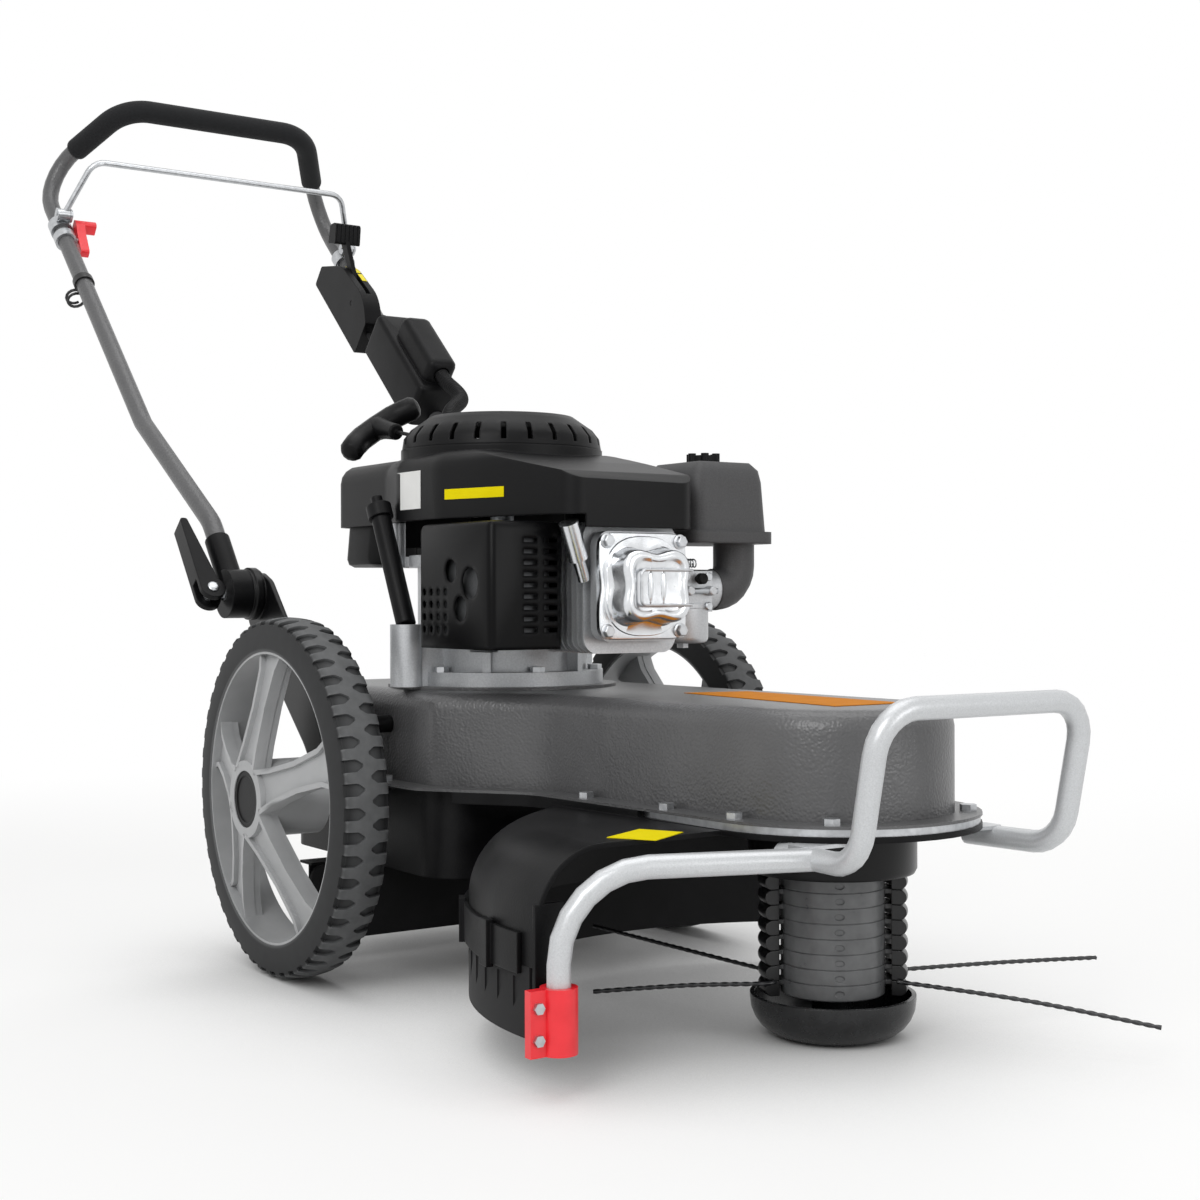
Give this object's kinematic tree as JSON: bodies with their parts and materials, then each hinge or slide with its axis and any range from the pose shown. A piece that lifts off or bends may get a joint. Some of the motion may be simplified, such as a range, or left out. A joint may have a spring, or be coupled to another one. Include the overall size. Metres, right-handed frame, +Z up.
{
  "type": "wheeled string trimmer",
  "caption": "Walk-behind string trimmer with spoked wheels, an engine on a pressed deck, a belt-driven line head with a glide bowl, a tube guard and a folding handle.",
  "frame": {"origin": "on the ground under the head's spindle, in the middle of the glide bowl's flat bottom", "axes": "+Z up along the spindle, +Y towards the rear and the handle, +X towards the machine's left"},
  "size_m": [0.5955, 1.5696, 1.0654],
  "materials": {
    "deck_paint": "hammered grey paint",
    "black_paint": "black paint",
    "silver_paint": "silver paint",
    "red_paint": "red paint",
    "zinc_steel": "zinc plated",
    "machined_steel": "machined",
    "cast_iron": "machined cast iron",
    "cast_aluminium": "as cast",
    "polished_aluminium": "polished",
    "black_plastic": "satin moulded",
    "silver_plastic": "moulded silver",
    "red_plastic": "moulded red",
    "tyre_rubber": "matt",
    "black_rubber": "matt",
    "foam": "foam",
    "cutting_line": "twisted nylon"
  },
  "bodies": {
    "chassis": {"deck": "deck_paint", "deck_bolts": "zinc_steel", "spindle_plate": "zinc_steel", "pan": "black_plastic", "rear_flap": "black_rubber", "deflector": "black_plastic", "deflector_skirt": "black_rubber", "skirt_band": "black_plastic", "guard_frame": "silver_paint", "guard_shoe": "red_paint", "small_bolts": "zinc_steel", "spindle_cover": "black_paint", "spindle_housing": "cast_iron", "belt": "black_rubber", "axle": "zinc_steel", "side_plates": "black_paint", "conduit": "black_plastic", "crankcase": "cast_aluminium", "cylinder_block": "cast_aluminium", "valve_cover": "polished_aluminium", "muffler": "machined_steel", "muffler_guard": "black_paint", "shroud": "black_plastic", "recoil_cover": "black_plastic", "fuel_tank": "black_plastic", "oil_tube": "black_plastic", "spark_plug": "polished_aluminium", "carburettor": "cast_aluminium", "air_cleaner": "black_plastic"},
    "head": {"spindle": "machined_steel", "spindle_pulley": "cast_iron", "line_rings": "black_plastic", "lines_right": "cutting_line", "lines_left": "cutting_line"},
    "bowl": {"glide_bowl": "black_plastic"},
    "crank": {"crankshaft": "machined_steel", "flywheel": "cast_aluminium"},
    "wheel_right": {"tyre_right": "tyre_rubber", "rim_right": "silver_plastic", "cap_right": "black_plastic"},
    "wheel_left": {"tyre_left": "tyre_rubber", "rim_left": "silver_plastic", "cap_left": "black_plastic"},
    "handle": {"handle_tube": "deck_paint", "foam_grip": "foam", "knuckle_arms": "black_plastic", "clamp_bolts": "zinc_steel", "handle_clamps": "zinc_steel", "throttle_box": "black_plastic", "cable_box": "black_plastic", "throttle_cable": "black_rubber"},
    "bail": {"bail": "zinc_steel"},
    "bail_latch": {"bail_latch": "red_plastic"},
    "throttle_lever": {"throttle_lever": "black_plastic"},
    "cam_lever_right": {"cam_lever_right": "black_plastic"},
    "cam_lever_left": {"cam_lever_left": "black_plastic"},
    "pull_grip": {"pull_grip": "black_plastic"},
    "fuel_cap": {"fuel_cap": "black_plastic"},
    "oil_cap": {"oil_cap": "black_plastic"},
    "cleaner_knob": {"cleaner_knob": "black_plastic"}
  },
  "joints": [
    {"name": "wheel_right_spin", "type": "hinge", "parent": "chassis", "child": "wheel_right", "pos_m": [-0.286, 0.486, 0.178], "axis": [1, 0, 0], "continuous": true},
    {"name": "wheel_left_spin", "type": "hinge", "parent": "chassis", "child": "wheel_left", "pos_m": [0.184, 0.486, 0.178], "axis": [1, 0, 0], "continuous": true},
    {"name": "head_spin", "type": "hinge", "parent": "chassis", "child": "head", "pos_m": [0, 0, 0.1], "axis": [0, 0, 1], "continuous": true},
    {"name": "crank_spin", "type": "hinge", "parent": "chassis", "child": "crank", "pos_m": [-0.062, 0.445, 0.3], "axis": [0, 0, 1], "continuous": true},
    {"name": "bowl_spin", "type": "hinge", "parent": "head", "child": "bowl", "pos_m": [0, 0, 0.02], "axis": [0, 0, 1], "continuous": true},
    {"name": "handle_fold", "type": "hinge", "parent": "chassis", "child": "handle", "pos_m": [-0.051, 0.7, 0.38], "axis": [1, 0, 0], "range_deg": [-12, 100], "deforming": ["conduit"]},
    {"name": "bail_squeeze", "type": "hinge", "parent": "handle", "child": "bail", "pos_m": [-0.051, 1.26222, 0.8988], "axis": [-1, 0, 0], "range_deg": [0, 32], "stiffness_Nm_per_rad": 1.2, "springref_deg": -17.19},
    {"name": "latch_turn", "type": "hinge", "parent": "handle", "child": "bail_latch", "pos_m": [-0.242, 1.25779, 0.8636], "axis": [1, 0, 0], "range_deg": [-15, 15]},
    {"name": "throttle_turn", "type": "hinge", "parent": "handle", "child": "throttle_lever", "pos_m": [0.138, 1.17566, 0.8008], "axis": [1, 0, 0], "range_deg": [0, 50]},
    {"name": "cam_right_open", "type": "hinge", "parent": "handle", "child": "cam_lever_right", "pos_m": [-0.2816, 0.7, 0.38], "axis": [0, -0.7749, 0.632], "range_deg": [0, 100]},
    {"name": "cam_left_open", "type": "hinge", "parent": "handle", "child": "cam_lever_left", "pos_m": [0.1796, 0.7, 0.38], "axis": [0, 0.7749, -0.632], "range_deg": [0, 100]},
    {"name": "starter_pull", "type": "slide", "parent": "chassis", "child": "pull_grip", "axis": [0, 0.9845, 0.1753], "range_m": [0, 0.085], "stiffness_N_per_m": 60, "springref_m": -0.1},
    {"name": "fuel_cap_turn", "type": "hinge", "parent": "chassis", "child": "fuel_cap", "pos_m": [-0.042, 0.605, 0.53], "axis": [0, 0, 1], "range_deg": [0, 180]},
    {"name": "oil_cap_turn", "type": "hinge", "parent": "chassis", "child": "oil_cap", "pos_m": [-0.186, 0.425, 0.3485], "axis": [0, 0.4434, 0.8963], "range_deg": [0, 180]},
    {"name": "cleaner_knob_turn", "type": "hinge", "parent": "chassis", "child": "cleaner_knob", "pos_m": [0.084, 0.29, 0.51], "axis": [0, 0, 1], "range_deg": [0, 180]}
  ],
  "couplings": [
    {"joint": "crank_spin", "follows": "head_spin", "ratio": 1.5075}
  ]
}
